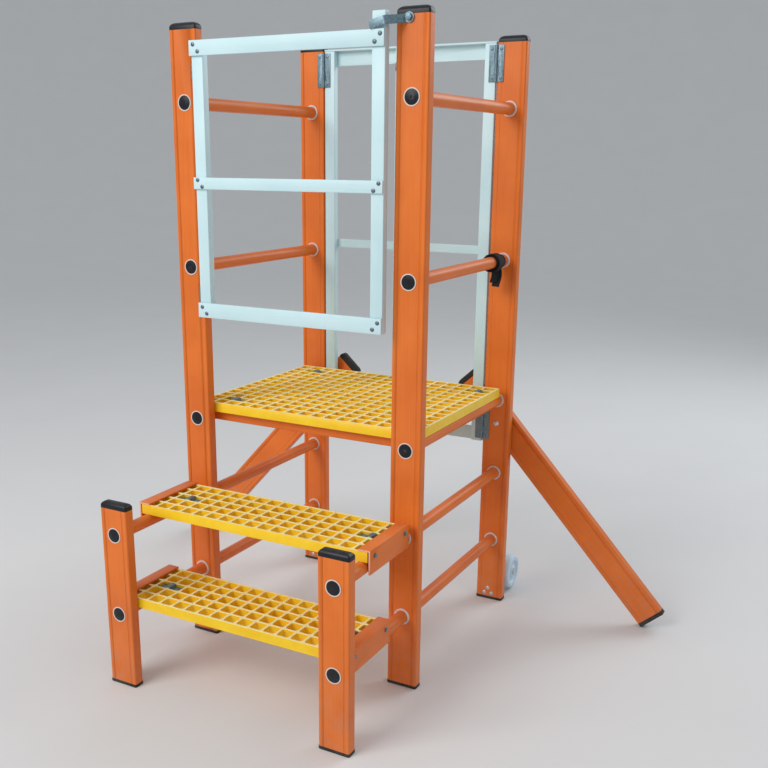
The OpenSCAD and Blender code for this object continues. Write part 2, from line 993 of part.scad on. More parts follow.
module strut_pivot_bolts() {
    spacer_r = 12;
    spacer_t = strut_gap - 0.5;
    color(silver)
        placed()
            for (side = [LEFT, RIGHT])
                translate([side * frame_half, 0, strut_pivot_z]) {
                    coach_bolt(pivot_r, frame_depth, strut_y + post_d + 0.5, 8, 4, 13);
                    tube_y(spacer_r, pivot_r + bond_gap, frame_depth + post_d, spacer_t);
                }
}

// ---------- wheels ----------

module wheel(side) {
    groove = 2;
    color(grey)
        placed()
            translate([side * wheel_x, wheel_y, wheel_z])
                rotate([0, side * 90, 0])
                    rotate_extrude()
                        difference() {
                            translate([axle_r + run_gap, 0])
                                square([wheel_d / 2 - axle_r - run_gap, wheel_w]);
                            for (x = [0, wheel_w])
                                translate([17, x - groove])
                                    square([17, 2 * groove]);
                            for (x = [0, wheel_w])
                                translate([wheel_d / 2, x])
                                    rotate(45)
                                        square(5, center = true);
                        }
}

module wheel_left() wheel(LEFT);
module wheel_right() wheel(RIGHT);

// A bent bracket: plate bolted behind the post, and an arm that reaches back to the axle
module wheel_brackets() {
    back_y = frame_depth + post_d;
    plate_w = 36;
    plate_h = 42;
    arm_z = 25;
    color(silver)
        placed()
            for (side = [LEFT, RIGHT])
                mirrored(side) {
                    difference() {
                        union() {
                            translate([wheel_arm_x - plate_w + 7, back_y, 9])
                                cube([plate_w, bracket_plate, plate_h]);
                            hull() {
                                translate([wheel_arm_x - bracket_plate, back_y, arm_z])
                                    cube([bracket_plate, bracket_plate, plate_h + 9 - arm_z]);
                                translate([wheel_arm_x - bracket_plate, wheel_y, wheel_z])
                                    rotate([0, 90, 0])
                                        cylinder(r = 14, h = bracket_plate);
                            }
                        }
                        translate([0, wheel_y, wheel_z])
                            rotate([0, 90, 0])
                                cylinder(r = axle_r + bond_gap, h = 2 * frame_half);
                        for (b = wheel_bolts)
                            translate([frame_half - b[0], 0, b[1]])
                                rod_y(screw_r + bond_gap, back_y - 1, bracket_plate + 2);
                    }
                }
}

// The axle, with its nut inboard and its head outboard, and the three bolts of each bracket
module wheel_fasteners() {
    start_x = wheel_arm_x - bracket_plate - 9;
    outer_x = wheel_x + wheel_w + 0.5;
    color(silver)
        placed()
            for (side = [LEFT, RIGHT])
                mirrored(side) {
                    translate([0, wheel_y, wheel_z])
                        rotate([0, 90, 0]) {
                            translate([0, 0, start_x])
                                cylinder(r = axle_r, h = outer_x - start_x + 3);
                            translate([0, 0, start_x + 1])
                                hex_head(16, 8);
                            translate([0, 0, outer_x])
                                cylinder(r = 9, h = 3);
                            translate([0, 0, wheel_arm_x])
                                cylinder(r = 9, h = wheel_x - wheel_arm_x - 0.3);
                        }
                    for (b = wheel_bolts)
                        translate([frame_half - b[0], 0, b[1]])
                            coach_bolt(screw_r, frame_depth, frame_depth + post_d + bracket_plate, 6, 3, 10);
                }
}

// ---------- strap on the right middle guard rung ----------

module rail_strap() {
    loop_r = rung_d / 2 + 0.3;
    wrap_y = 506;
    wrap_w = 35;
    wrap_t = 8;
    tail_y = wrap_y + wrap_w - 1;
    tail_w = 26;
    tail_t = 4;
    tail_low = -59;
    color(black)
        placed()
            translate([frame_half, 0, mid_guard_z]) {
                tube_y(loop_r + wrap_t, loop_r, wrap_y, wrap_w);
                tube_y(loop_r + tail_t, loop_r, tail_y, tail_w);
                translate([-tail_w / 2, tail_y + 11, tail_low])
                    cube([tail_w, tail_t, -tail_low - loop_r - 1]);
            }
}

post_front_left();
post_front_right();
post_rear_left();
post_rear_right();
post_step_left();
post_step_right();
rung_lower_left();
rung_lower_right();
rung_upper_left();
rung_upper_right();
rung_deck_left();
rung_deck_right();
rung_mid_left();
rung_mid_right();
rung_top_left();
rung_top_right();
rung_collars();
rung_plugs();
post_caps();
post_feet();
platform_grating();
platform_beams();
platform_clips();
upper_tread_grating();
upper_tread_beam();
upper_tread_brackets();
upper_tread_fixings();
lower_tread_grating();
lower_tread_beam();
lower_tread_brackets();
lower_tread_fixings();
gate_hinge_stile();
gate_latch_stile();
gate_top_rail();
gate_mid_rail();
gate_bottom_rail();
gate_rivets();
gate_hinge_leaves();
gate_post_leaves();
latch_hook();
latch_bolt();
rear_stile_left_outer();
rear_stile_left_inner();
rear_stile_right_inner();
rear_stile_right_outer();
rear_rails_left();
rear_rails_right();
rear_hinges();
rear_fasteners();
rear_leaf_catch();
strut_left();
strut_right();
strut_left_ends();
strut_right_ends();
strut_pivot_bolts();
wheel_left();
wheel_right();
wheel_brackets();
wheel_fasteners();
rail_strap();
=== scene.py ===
# %% [markdown]
# # A glass-fibre work platform, finished in Blender
#
# The object is a small free-standing access platform: two side frames made of
# pultruded orange box section with round rungs, a yellow moulded grating deck
# with two treads in front of it, a white front gate with a strap latch, a white
# folding rear frame, two outrigger struts and two transport wheels.
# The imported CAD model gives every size. This notebook loads it, and then gives
# each part the shape, the softened edges and the finish of the real thing.

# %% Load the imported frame
import json
import math

import bmesh
import bpy
from mathutils import Matrix, Vector

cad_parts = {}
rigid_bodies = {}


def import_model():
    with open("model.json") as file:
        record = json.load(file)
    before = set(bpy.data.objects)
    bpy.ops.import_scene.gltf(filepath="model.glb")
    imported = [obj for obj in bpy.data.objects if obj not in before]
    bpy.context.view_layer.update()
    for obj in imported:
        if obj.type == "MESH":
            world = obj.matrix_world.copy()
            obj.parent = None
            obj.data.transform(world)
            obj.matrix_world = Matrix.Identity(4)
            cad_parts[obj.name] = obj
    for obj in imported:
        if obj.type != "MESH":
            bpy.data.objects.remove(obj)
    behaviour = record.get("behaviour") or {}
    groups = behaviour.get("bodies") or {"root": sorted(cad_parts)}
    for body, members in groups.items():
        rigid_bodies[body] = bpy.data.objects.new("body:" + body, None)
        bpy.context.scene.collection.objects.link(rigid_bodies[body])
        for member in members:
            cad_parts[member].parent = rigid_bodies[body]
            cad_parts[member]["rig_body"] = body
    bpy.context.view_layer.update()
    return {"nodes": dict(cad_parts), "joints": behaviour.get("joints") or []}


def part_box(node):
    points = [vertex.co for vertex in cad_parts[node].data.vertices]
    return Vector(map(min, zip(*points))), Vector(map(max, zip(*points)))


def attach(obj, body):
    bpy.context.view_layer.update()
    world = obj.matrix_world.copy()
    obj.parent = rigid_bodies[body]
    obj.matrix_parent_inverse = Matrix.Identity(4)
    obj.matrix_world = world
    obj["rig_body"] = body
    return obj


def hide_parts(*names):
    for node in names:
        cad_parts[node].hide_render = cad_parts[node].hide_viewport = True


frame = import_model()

# %% [markdown]
# ## The camera
#
# Views of a tall frame look natural from standing eye height. The camera stands
# in front of the steps and to the right, a little above the deck, and looks
# slightly down. Azimuth and elevation place it on a sphere round a target, and
# the small roll is that of a hand-held camera. The two shifts slide the view
# without bending the upright lines.

# %% Place the camera
AZIMUTH = math.radians(28.83)
ELEVATION = math.radians(15.63)
ROLL = math.radians(0.31)
TARGET = Vector((0.0203, 0.0945, 0.5542))
DISTANCE = 2.763

back = Vector((
    math.sin(AZIMUTH) * math.cos(ELEVATION),
    -math.cos(AZIMUTH) * math.cos(ELEVATION),
    math.sin(ELEVATION),
))
right = Vector((math.cos(AZIMUTH), math.sin(AZIMUTH), 0))
up = back.cross(right)
tilted_right = right * math.cos(ROLL) + up * math.sin(ROLL)
tilted_up = up * math.cos(ROLL) - right * math.sin(ROLL)
facing = Matrix((tilted_right, tilted_up, back)).transposed().to_4x4()

lens = bpy.data.cameras.new("viewpoint")
lens.lens = 46.37
lens.sensor_width = 36
lens.shift_x = 0.0318
lens.shift_y = 0.065
camera = bpy.data.objects.new("viewpoint", lens)
camera.matrix_world = Matrix.Translation(TARGET + back * DISTANCE) @ facing
bpy.context.scene.collection.objects.link(camera)
bpy.context.scene.camera = camera
print("camera at", [round(c, 3) for c in camera.matrix_world.translation])

# %% [markdown]
# ## Helpers for materials
#
# A material is a small tree of nodes. Five helpers keep the trees readable: one
# adds a node and sets its values, one mixes two colours by a mask, one starts a
# material and hands back its tree, its shader and its coordinates, one adds a
# bump, and one starts a group, which is an effect that many materials share.

# %% Node helpers
def put(tree, kind, values=None, **settings):
    made = tree.nodes.new(kind)
    for setting, value in settings.items():
        setattr(made, setting, value)
    for socket, value in (values or {}).items():
        made.inputs[socket].default_value = value
    return made


def mix_colours(tree, mask, first, second):
    mixer = put(tree, "ShaderNodeMix", data_type="RGBA")
    tree.links.new(mask, mixer.inputs[0])
    for slot_number, colour in ((6, first), (7, second)):
        if isinstance(colour, tuple):
            mixer.inputs[slot_number].default_value = (*colour, 1)
        else:
            tree.links.new(colour, mixer.inputs[slot_number])
    return mixer.outputs[2]


def start_material(name, roughness, metallic=0.0):
    material = bpy.data.materials.new(name)
    material.use_nodes = True
    tree = material.node_tree
    shader = tree.nodes["Principled BSDF"]
    shader.inputs["Roughness"].default_value = roughness
    shader.inputs["Metallic"].default_value = metallic
    shader.inputs["Specular IOR Level"].default_value = 0.32
    return material, tree, shader, put(tree, "ShaderNodeTexCoord")


def add_bump(tree, shader, height, strength, distance):
    bump = put(tree, "ShaderNodeBump", {"Strength": strength, "Distance": distance})
    tree.links.new(height, bump.inputs["Height"])
    tree.links.new(bump.outputs["Normal"], shader.inputs["Normal"])


def start_group(name, inputs, outputs):
    tree = bpy.data.node_groups.new(name, "ShaderNodeTree")
    for title, kind in inputs:
        tree.interface.new_socket(title, in_out="INPUT", socket_type=kind)
    for title, kind in outputs:
        tree.interface.new_socket(title, in_out="OUTPUT", socket_type=kind)
    return tree, tree.nodes.new("NodeGroupInput"), tree.nodes.new("NodeGroupOutput")


print("node helpers:", [f.__name__ for f in (put, mix_colours, start_material, add_bump, start_group)])


# %% [markdown]
# ## Effect: glass-fibre streaks
#
# Pultruded profile is pulled through a die, so its fibres and its resin lines
# all run lengthwise. A noise texture stretched along the profile gives the
# streaks, and a coarse one gives the slow change of colour in the resin. The
# group is built once; each material stretches its coordinates its own way.

# %% Build the streak group
def build_fibre_streaks():
    tree, given, result = start_group(
        "fibre_streaks",
        [("Along", "NodeSocketVector"), ("Place", "NodeSocketVector")],
        [("Streaks", "NodeSocketFloat"), ("Mottle", "NodeSocketFloat"), ("Scuffs", "NodeSocketFloat")],
    )
    fine = put(tree, "ShaderNodeTexNoise", {"Scale": 260.0, "Detail": 4.0, "Roughness": 0.6})
    slow = put(tree, "ShaderNodeTexNoise", {"Scale": 7.0, "Detail": 3.0, "Roughness": 0.5})
    marks = put(tree, "ShaderNodeTexNoise", {"Scale": 42.0, "Detail": 8.0, "Roughness": 0.72})
    cut = put(tree, "ShaderNodeMapRange", {"From Min": 0.62, "From Max": 0.72})
    tree.links.new(given.outputs["Along"], fine.inputs["Vector"])
    tree.links.new(given.outputs["Place"], slow.inputs["Vector"])
    tree.links.new(given.outputs["Along"], marks.inputs["Vector"])
    tree.links.new(marks.outputs["Fac"], cut.inputs["Value"])
    tree.links.new(fine.outputs["Fac"], result.inputs["Streaks"])
    tree.links.new(slow.outputs["Fac"], result.inputs["Mottle"])
    tree.links.new(cut.outputs["Result"], result.inputs["Scuffs"])
    return tree


fibre_streaks = build_fibre_streaks()
print("group", fibre_streaks.name, "with", len(fibre_streaks.nodes), "nodes")

# %% [markdown]
# ## Effect: yard dust
#
# The platform stands on concrete, so a thin grey film gathers near the floor and
# on faces that look up. The mask comes from the height above the floor and the
# upward part of the surface normal, broken up by noise so that it isn't a band.

# %% Build the dust group
def build_yard_dust():
    tree, given, result = start_group(
        "yard_dust",
        [("Place", "NodeSocketVector"), ("Facing", "NodeSocketVector")],
        [("Dust", "NodeSocketFloat")],
    )
    place = put(tree, "ShaderNodeSeparateXYZ")
    facing_up = put(tree, "ShaderNodeSeparateXYZ")
    low = put(tree, "ShaderNodeMapRange", {"From Min": 0.0, "From Max": 0.30, "To Min": 0.24, "To Max": 0.0})
    flat = put(tree, "ShaderNodeMapRange", {"From Min": 0.6, "From Max": 1.0, "To Min": 0.0, "To Max": 0.25})
    most = put(tree, "ShaderNodeMath", operation="MAXIMUM")
    patch = put(tree, "ShaderNodeTexNoise", {"Scale": 30.0, "Detail": 6.0, "Roughness": 0.65})
    spread = put(tree, "ShaderNodeMapRange", {"From Min": 0.35, "From Max": 0.75})
    both = put(tree, "ShaderNodeMath", operation="MULTIPLY")
    tree.links.new(given.outputs["Place"], place.inputs[0])
    tree.links.new(given.outputs["Facing"], facing_up.inputs[0])
    tree.links.new(place.outputs["Z"], low.inputs["Value"])
    tree.links.new(facing_up.outputs["Z"], flat.inputs["Value"])
    tree.links.new(low.outputs["Result"], most.inputs[0])
    tree.links.new(flat.outputs["Result"], most.inputs[1])
    tree.links.new(given.outputs["Place"], patch.inputs["Vector"])
    tree.links.new(patch.outputs["Fac"], spread.inputs["Value"])
    tree.links.new(most.outputs[0], both.inputs[0])
    tree.links.new(spread.outputs["Result"], both.inputs[1])
    tree.links.new(both.outputs[0], result.inputs["Dust"])
    return tree


yard_dust = build_yard_dust()
print("group", yard_dust.name, "with", len(yard_dust.nodes), "nodes")

# %% [markdown]
# ## Finish: orange and white profile
#
# Every pultruded part shares one recipe and differs in its colours and in the
# direction of its fibres. Two shades are mixed by the slow mottle, the streaks
# lighten them a little, rare scuffs are paler still, and dust lies on top.
# The streaks also drive a very shallow bump, which makes the gloss run lengthwise.

# %% Write the recipe for profiles
def profile_material(name, deep, bright, scuffed, stretch, turn=(0, 0, 0), roughness=0.36, bump=0.22):
    material, tree, shader, where = start_material(name, roughness)
    turned = put(tree, "ShaderNodeMapping", {"Rotation": turn})
    along = put(tree, "ShaderNodeMapping", {"Scale": stretch})
    streaks = put(tree, "ShaderNodeGroup", node_tree=fibre_streaks)
    dust = put(tree, "ShaderNodeGroup", node_tree=yard_dust)
    tree.links.new(where.outputs["Object"], turned.inputs["Vector"])
    tree.links.new(turned.outputs["Vector"], along.inputs["Vector"])
    tree.links.new(along.outputs["Vector"], streaks.inputs["Along"])
    tree.links.new(where.outputs["Object"], streaks.inputs["Place"])
    tree.links.new(where.outputs["Object"], dust.inputs["Place"])
    tree.links.new(where.outputs["Normal"], dust.inputs["Facing"])
    tone = put(tree, "ShaderNodeMapRange", {"From Min": 0.3, "From Max": 0.7})
    tree.links.new(streaks.outputs["Mottle"], tone.inputs["Value"])
    base = mix_colours(tree, tone.outputs["Result"], deep, bright)
    faint = put(tree, "ShaderNodeMapRange", {"From Min": 0.4, "From Max": 0.8, "To Max": 0.16})
    tree.links.new(streaks.outputs["Streaks"], faint.inputs["Value"])
    lined = mix_colours(tree, faint.outputs["Result"], base, scuffed)
    rare = put(tree, "ShaderNodeMath", operation="MULTIPLY")
    rare.inputs[1].default_value = 0.22
    tree.links.new(streaks.outputs["Scuffs"], rare.inputs[0])
    marked = mix_colours(tree, rare.outputs[0], lined, scuffed)
    dusty = mix_colours(tree, dust.outputs["Dust"], marked, (0.42, 0.38, 0.33))
    tree.links.new(dusty, shader.inputs["Base Color"])
    sheen = put(tree, "ShaderNodeMapRange", {"To Min": roughness - 0.07, "To Max": roughness + 0.14})
    tree.links.new(streaks.outputs["Streaks"], sheen.inputs["Value"])
    tree.links.new(sheen.outputs["Result"], shader.inputs["Roughness"])
    add_bump(tree, shader, streaks.outputs["Streaks"], bump, 0.0004)
    return material


print("recipe ready:", profile_material.__name__)

# %% [markdown]
# ## The orange and white finishes
#
# Each set of colours is deep, bright and scuffed. The stretch of the streaks
# follows the way the profile was pulled: upwards in posts and stiles, front to
# back in rungs, and across in beams and rails.

# %% Mix the orange and white finishes
ORANGE = ((0.72, 0.150, 0.016), (0.84, 0.195, 0.025), (0.90, 0.33, 0.11))
WHITE = ((0.56, 0.78, 0.83), (0.64, 0.85, 0.89), (0.80, 0.91, 0.93))
UPRIGHT = (1.0, 1.0, 0.03)
FRONT_TO_BACK = (1.0, 0.03, 1.0)
ACROSS = (0.03, 1.0, 1.0)

orange_upright = profile_material("orange_upright", *ORANGE, UPRIGHT)
orange_rung = profile_material("orange_rung", *ORANGE, FRONT_TO_BACK)
orange_beam = profile_material("orange_beam", *ORANGE, ACROSS)
white_upright = profile_material("white_upright", *WHITE, UPRIGHT, roughness=0.34)
white_rail = profile_material("white_rail", *WHITE, ACROSS, roughness=0.34)
pulled = (orange_upright, orange_rung, orange_beam, white_upright, white_rail)
print("profile finishes:", [m.name for m in pulled])

# %% [markdown]
# ## Finish: the cut ends of the brackets
#
# Sawn glass fibre shows its pale, dry core. A paler pink-orange with a coarse
# grain marks these faces, and no gloss.

# %% Make the sawn-edge material
def sawn_material():
    material, tree, shader, where = start_material("sawn_glass_fibre", 0.75)
    grain = put(tree, "ShaderNodeTexNoise", {"Scale": 520.0, "Detail": 3.0})
    tree.links.new(where.outputs["Object"], grain.inputs["Vector"])
    colour = mix_colours(tree, grain.outputs["Fac"], (0.80, 0.42, 0.26), (0.93, 0.72, 0.58))
    tree.links.new(colour, shader.inputs["Base Color"])
    add_bump(tree, shader, grain.outputs["Fac"], 0.4, 0.0005)
    return material


sawn_glass_fibre = sawn_material()
print("sawn-edge finish:", sawn_glass_fibre.name)

# %% [markdown]
# ## Finish: gritted yellow grating
#
# The moulded gratings are saturated yellow resin, and sharp grit is bonded into
# their top faces, which makes them paler and rough. The upward part of the
# object's normal tells top faces from walls, so one material serves both. A
# Voronoi pattern of about two millimetres is the grit, and walked-on patches are
# greyer than the rest.

# %% Build the grit group
def grit_group():
    tree, given, result = start_group(
        "bonded_grit",
        [("Place", "NodeSocketVector"), ("Facing", "NodeSocketVector")],
        [("Top", "NodeSocketFloat"), ("Grit", "NodeSocketFloat"), ("Worn", "NodeSocketFloat")],
    )
    parts = put(tree, "ShaderNodeSeparateXYZ")
    top = put(tree, "ShaderNodeMapRange", {"From Min": 0.55, "From Max": 0.95})
    grains = put(tree, "ShaderNodeTexVoronoi", {"Scale": 620.0, "Randomness": 1.0})
    fine = put(tree, "ShaderNodeTexNoise", {"Scale": 1300.0, "Detail": 2.0})
    added = put(tree, "ShaderNodeMath", operation="ADD")
    worn = put(tree, "ShaderNodeTexNoise", {"Scale": 16.0, "Detail": 6.0, "Roughness": 0.7})
    tree.links.new(given.outputs["Facing"], parts.inputs[0])
    tree.links.new(parts.outputs["Z"], top.inputs["Value"])
    tree.links.new(given.outputs["Place"], grains.inputs["Vector"])
    tree.links.new(given.outputs["Place"], fine.inputs["Vector"])
    tree.links.new(given.outputs["Place"], worn.inputs["Vector"])
    tree.links.new(grains.outputs["Distance"], added.inputs[0])
    tree.links.new(fine.outputs["Fac"], added.inputs[1])
    tree.links.new(top.outputs["Result"], result.inputs["Top"])
    tree.links.new(added.outputs[0], result.inputs["Grit"])
    tree.links.new(worn.outputs["Fac"], result.inputs["Worn"])
    return tree


bonded_grit = grit_group()
print("group", bonded_grit.name, "with", len(bonded_grit.nodes), "nodes")

# %% [markdown]
# ## The grating's colours
#
# Walls are clean, glossy and deep yellow. Tops are paler, rough and bumpy with
# grit, and towards the worn patches they fade to a dull straw colour.

# %% Mix the grating finish
def grating_material():
    material, tree, shader, where = start_material("gritted_yellow", 0.55)
    grit = put(tree, "ShaderNodeGroup", node_tree=bonded_grit)
    tree.links.new(where.outputs["Object"], grit.inputs["Place"])
    tree.links.new(where.outputs["Normal"], grit.inputs["Facing"])
    shade = put(tree, "ShaderNodeMapRange", {"From Min": 0.3, "From Max": 0.7})
    tree.links.new(grit.outputs["Worn"], shade.inputs["Value"])
    walls = mix_colours(tree, shade.outputs["Result"], (0.94, 0.56, 0.012), (1.0, 0.68, 0.026))
    clean = mix_colours(tree, grit.outputs["Grit"], (0.96, 0.75, 0.20), (1.0, 0.90, 0.46))
    trodden = put(tree, "ShaderNodeMapRange", {"From Min": 0.48, "From Max": 0.78, "To Max": 0.55})
    tree.links.new(grit.outputs["Worn"], trodden.inputs["Value"])
    tops = mix_colours(tree, trodden.outputs["Result"], clean, (0.86, 0.78, 0.52))
    colour = mix_colours(tree, grit.outputs["Top"], walls, tops)
    tree.links.new(colour, shader.inputs["Base Color"])
    rough = put(tree, "ShaderNodeMapRange", {"To Min": 0.36, "To Max": 0.86})
    tree.links.new(grit.outputs["Top"], rough.inputs["Value"])
    tree.links.new(rough.outputs["Result"], shader.inputs["Roughness"])
    raised = put(tree, "ShaderNodeMath", operation="MULTIPLY")
    tree.links.new(grit.outputs["Grit"], raised.inputs[0])
    tree.links.new(grit.outputs["Top"], raised.inputs[1])
    add_bump(tree, shader, raised.outputs[0], 0.7, 0.0009)
    return material


gritted_yellow = grating_material()
print("grating finish:", gritted_yellow.name)

# %% [markdown]
# ## Finish: zinc-plated steel, black plastic, rubber, nylon and sealant
#
# The fittings are small, so their finishes are simple, but none is one flat
# colour. Zinc has a crystalline patchiness; moulded plastic has a fine skin and
# dulled patches; rubber is matt and dusty; the collars are an off-white sealant.

# %% Write the recipe for fittings
def mottled_material(name, dark, light, roughness, scale, metallic=0.0, bump=0.15, cells=False):
    material, tree, shader, where = start_material(name, roughness, metallic)
    if cells:
        pattern = put(tree, "ShaderNodeTexVoronoi", {"Scale": scale, "Randomness": 1.0})
        mask = pattern.outputs["Color"]
    else:
        pattern = put(tree, "ShaderNodeTexNoise", {"Scale": scale, "Detail": 5.0, "Roughness": 0.6})
        mask = pattern.outputs["Fac"]
    grain = put(tree, "ShaderNodeTexNoise", {"Scale": scale * 6, "Detail": 3.0})
    dust = put(tree, "ShaderNodeGroup", node_tree=yard_dust)
    for texture in (pattern, grain):
        tree.links.new(where.outputs["Object"], texture.inputs["Vector"])
    tree.links.new(where.outputs["Object"], dust.inputs["Place"])
    tree.links.new(where.outputs["Normal"], dust.inputs["Facing"])
    colour = mix_colours(tree, mask, dark, light)
    weak = put(tree, "ShaderNodeMath", operation="MULTIPLY")
    weak.inputs[1].default_value = 0.5
    tree.links.new(dust.outputs["Dust"], weak.inputs[0])
    dusty = mix_colours(tree, weak.outputs[0], colour, (0.40, 0.37, 0.33))
    tree.links.new(dusty, shader.inputs["Base Color"])
    sheen = put(tree, "ShaderNodeMapRange", {"To Min": roughness - 0.08, "To Max": roughness + 0.12})
    tree.links.new(grain.outputs["Fac"], sheen.inputs["Value"])
    tree.links.new(sheen.outputs["Result"], shader.inputs["Roughness"])
    add_bump(tree, shader, grain.outputs["Fac"], bump, 0.0003)
    return material


print("recipe ready:", mottled_material.__name__)

# %% [markdown]
# ## The small parts' finishes
#
# Each line gives a darker and a lighter colour, the roughness and how fine the
# mottle is. Zinc is partly metallic, because its dull crust hides the metal.

# %% Mix the fitting finishes
zinc_plate = mottled_material(
    "zinc_plate", (0.13, 0.21, 0.26), (0.24, 0.34, 0.39), 0.42, 260.0, metallic=0.6, cells=True,
)
bright_zinc = mottled_material(
    "bright_zinc", (0.52, 0.55, 0.57), (0.78, 0.79, 0.80), 0.30, 260.0, metallic=0.8, cells=True,
)
dark_rivet = mottled_material(
    "dark_rivet", (0.08, 0.11, 0.14), (0.20, 0.24, 0.28), 0.40, 300.0, metallic=0.8,
)
black_moulding = mottled_material(
    "black_moulding", (0.003, 0.004, 0.007), (0.010, 0.013, 0.019), 0.36, 60.0,
)
black_rubber = mottled_material(
    "black_rubber", (0.013, 0.013, 0.013), (0.034, 0.033, 0.032), 0.68, 90.0, bump=0.35,
)
sealant_ring = mottled_material(
    "sealant_ring", (0.68, 0.53, 0.48), (0.82, 0.73, 0.69), 0.5, 120.0, bump=0.4,
)
pale_nylon = mottled_material(
    "pale_nylon", (0.52, 0.70, 0.86), (0.76, 0.89, 0.98), 0.45, 50.0,
)
fitted = (zinc_plate, bright_zinc, dark_rivet, black_moulding, black_rubber, sealant_ring, pale_nylon)
print("fitting finishes:", [m.name for m in fitted])

# %% [markdown]
# ## Working from the CAD parts
#
# The shape of most parts is already right. A copy of the CAD mesh is welded,
# because it comes as loose triangles, and its flat areas are joined into single
# faces. Then real edges can be found by the angle between two faces, and a
# narrow bevel on the long ones catches the light as a moulded or rolled edge
# does. Small holes keep their crisp rims. The CAD part itself is left alone; the
# finished copy stands for it and moves with the same body.

# %% Weld, soften and hand over
def welded(*nodes):
    shape = bmesh.new()
    for node in nodes:
        shape.from_mesh(frame["nodes"][node].data)
    bmesh.ops.remove_doubles(shape, verts=shape.verts, dist=0.00001)
    bmesh.ops.dissolve_limit(shape, angle_limit=math.radians(0.6), verts=shape.verts, edges=shape.edges)
    return shape


def soften(shape, width, segments=2, longer_than=0.006, sharper_than=50):
    edges = [
        e for e in shape.edges
        if e.is_manifold
        and e.calc_length() > longer_than
        and e.calc_face_angle() > math.radians(sharper_than)
    ]
    bmesh.ops.bevel(
        shape, geom=edges, offset=width, offset_type="OFFSET", affect="EDGES",
        segments=segments, profile=0.5, material=-1, clamp_overlap=True,
    )
    return len(edges)


def hand_over(shape, name, nodes, slot, *materials, smooth=38):
    mesh = bpy.data.meshes.new(name)
    for face in shape.faces:
        face.smooth = True
    shape.to_mesh(mesh)
    shape.free()
    for material in materials:
        mesh.materials.append(material)
    mesh.set_sharp_from_angle(angle=math.radians(smooth))
    piece = bpy.data.objects.new(name, mesh)
    bpy.context.scene.collection.objects.link(piece)
    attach(piece, frame["nodes"][nodes[0]]["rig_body"])
    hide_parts(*nodes)
    print(f"{name}: {len(mesh.polygons)} faces")
    return piece


print("shape helpers:", [f.__name__ for f in (welded, soften, hand_over)])

# %% [markdown]
# ## Separate solids in one part
#
# Identical fittings, such as the six caps, share one CAD part as separate
# solids. To draw each one anew, its place and size are needed. Walking along
# edges from any vertex reaches exactly one solid, and the box round it is kept.
# A placing lets a tilted solid be measured along its own directions.

# %% Find the separate solids
def solids_of(node, placing=Matrix.Identity(4)):
    """The two corners of every separate solid's box, in a placing's own directions."""
    shape = welded(node)
    shape.transform(placing.inverted())
    unseen = set(shape.verts)
    found = []
    while unseen:
        reached = [unseen.pop()]
        for vertex in reached:
            for edge in vertex.link_edges:
                other = edge.other_vert(vertex)
                if other in unseen:
                    unseen.remove(other)
                    reached.append(other)
        low = Vector([min(v.co[k] for v in reached) for k in range(3)])
        high = Vector([max(v.co[k] for v in reached) for k in range(3)])
        found.append((low, high))
    shape.free()
    return found


print("caps:", len(solids_of("post_caps")), "feet:", len(solids_of("post_feet")))

# %% [markdown]
# ## Posts and rungs
#
# The posts are box section, 80 by 28 mm, with two shallow lines near the edges
# of each broad face where the die leaves them. The rungs are round tube that
# passes through the posts. Both keep their CAD shape; smooth shading turns the
# facets of the corner radii back into curves.

# %% Finish the posts and rungs
for position in ("front_left", "front_right", "rear_left", "rear_right", "step_left", "step_right"):
    node = f"post_{position}"
    hand_over(welded(node), f"profile_{position}", [node], "orange_grp", orange_upright)

for level in ("lower", "upper", "deck", "mid", "top"):
    for side in ("left", "right"):
        node = f"rung_{level}_{side}"
        hand_over(welded(node), f"tube_{level}_{side}", [node], "orange_grp", orange_rung)

# %% [markdown]
# ## Collars and plugs
#
# A bead of pale sealant closes the joint where a rung enters a post, and a black
# domed plug closes the tube's open end inside a thin pale ring. The bead isn't a
# crisp disc: its outer edge is rounded over by a wide bevel. The plugs keep
# their domes.

# %% Finish the collars and plugs
beads = welded("rung_collars")
print("bead edges rounded:", soften(beads, 0.0006, segments=2, longer_than=0.002))
hand_over(beads, "sealant_beads", ["rung_collars"], "white_collar", sealant_ring, smooth=60)
hand_over(welded("rung_plugs"), "tube_plugs", ["rung_plugs"], "black_plastic", black_moulding)

# %% [markdown]
# ## Rounded blocks
#
# Feet, caps and bars all start as a box with rounded edges. A cube is scaled to
# size, its upright edges are bevelled first, and the rims of its two ends get
# their own bevel, which may be narrower. It is made upright, so the same
# function also serves the tilted struts, whose ends are placed afterwards.

# %% Round a block
CORNER = 0.004


def rounded_block(shape, low, high, corner, edge):
    size = high - low
    place = Matrix.Translation((low + high) / 2) @ Matrix.Diagonal((*size, 1))
    made = bmesh.ops.create_cube(shape, size=1, matrix=place)["verts"]
    upright = {
        e for v in made for e in v.link_edges
        if abs(e.verts[0].co.z - e.verts[1].co.z) > size.z / 2
    }
    bmesh.ops.bevel(
        shape, geom=list(upright), offset=corner, offset_type="OFFSET", affect="EDGES",
        segments=4, profile=0.5, material=-1,
    )
    ends = [
        f for f in shape.faces
        if abs(f.normal.z) > 0.9 and (f.calc_center_median() - (low + high) / 2).length < size.length / 2
    ]
    if edge:
        rims = {e for f in ends for e in f.edges}
        bmesh.ops.bevel(
            shape, geom=list(rims), offset=edge, offset_type="OFFSET", affect="EDGES",
            segments=2, profile=0.5, material=-1,
        )
    return ends


print("block corners, metres:", CORNER)

# %% [markdown]
# ## The dome of a cap
#
# Each box section ends in a black push-in cap whose top is a soft dome, highest
# along a short ridge. It starts as a rounded block, and its top face is extruded
# in small steps that narrow like a quarter of an ellipse. A scaled sphere would
# come to a point and wouldn't meet the straight sides of the rim.

